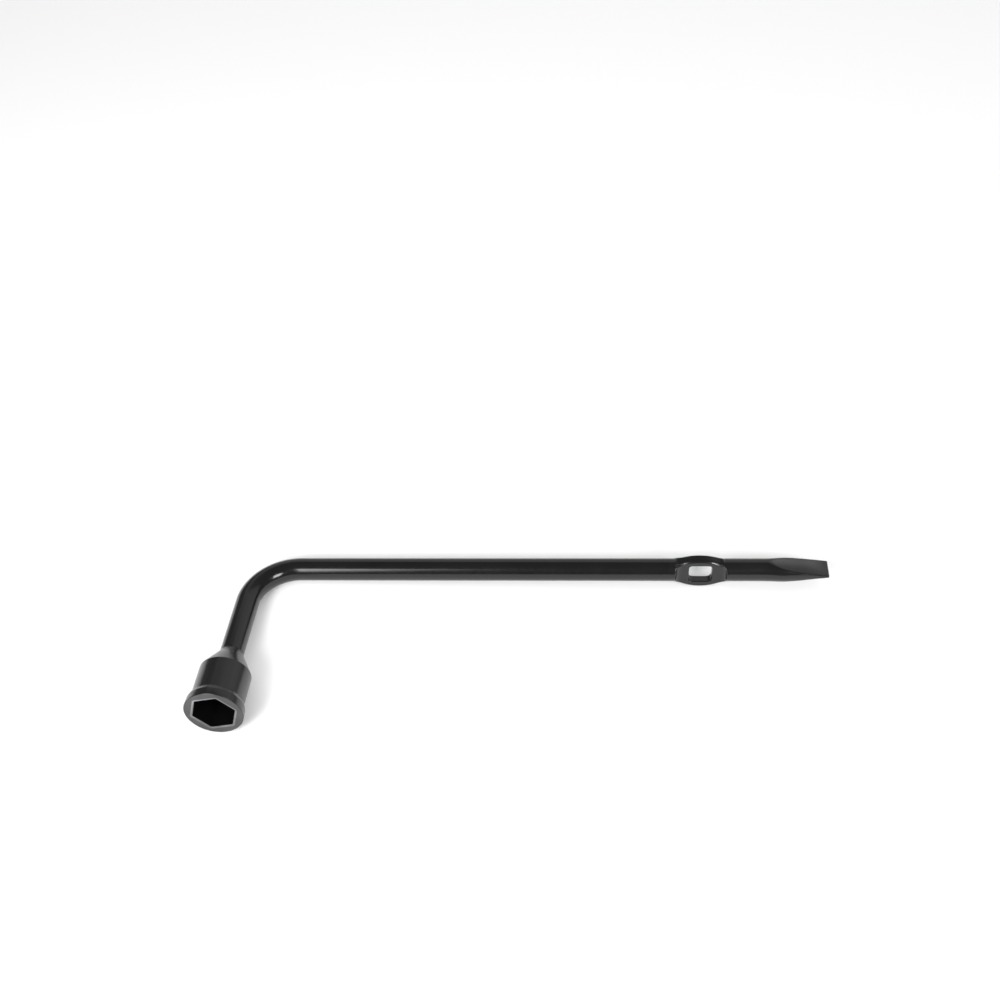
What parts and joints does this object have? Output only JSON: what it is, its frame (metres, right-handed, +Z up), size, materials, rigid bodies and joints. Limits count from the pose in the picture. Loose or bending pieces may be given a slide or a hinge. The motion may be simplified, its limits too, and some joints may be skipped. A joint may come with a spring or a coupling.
{
  "type": "lug wrench",
  "caption": "L-shaped lug wrench: a bent round bar with a hexagon socket on its short leg, and a pierced oval jack eye and a flat chisel pry tip on its long arm.",
  "frame": {"origin": "on the surface that the wrench lies on, under the middle of its bounding box", "axes": "+X along the long arm from the bend to the chisel tip, +Z up from the surface; the leg and its socket point along -Y. The wrench lies at rest on the socket's shoulder, the bend and the underside of the eye, so its own plane is tilted 5.8 degrees about X and 1.2 degrees about Y."},
  "size_m": [0.3448, 0.1136, 0.0322],
  "materials": {
    "socket_paint": "satin black paint over forged steel",
    "weld_paint": "satin black paint over a dressed weld",
    "bar_paint": "semi-gloss black paint over round steel bar",
    "forging_paint": "semi-gloss black paint over forged steel"
  },
  "bodies": {
    "root": {"socket": "socket_paint", "weld_bead": "weld_paint", "bent_shank": "bar_paint", "pry_end": "forging_paint"}
  },
  "joints": []
}
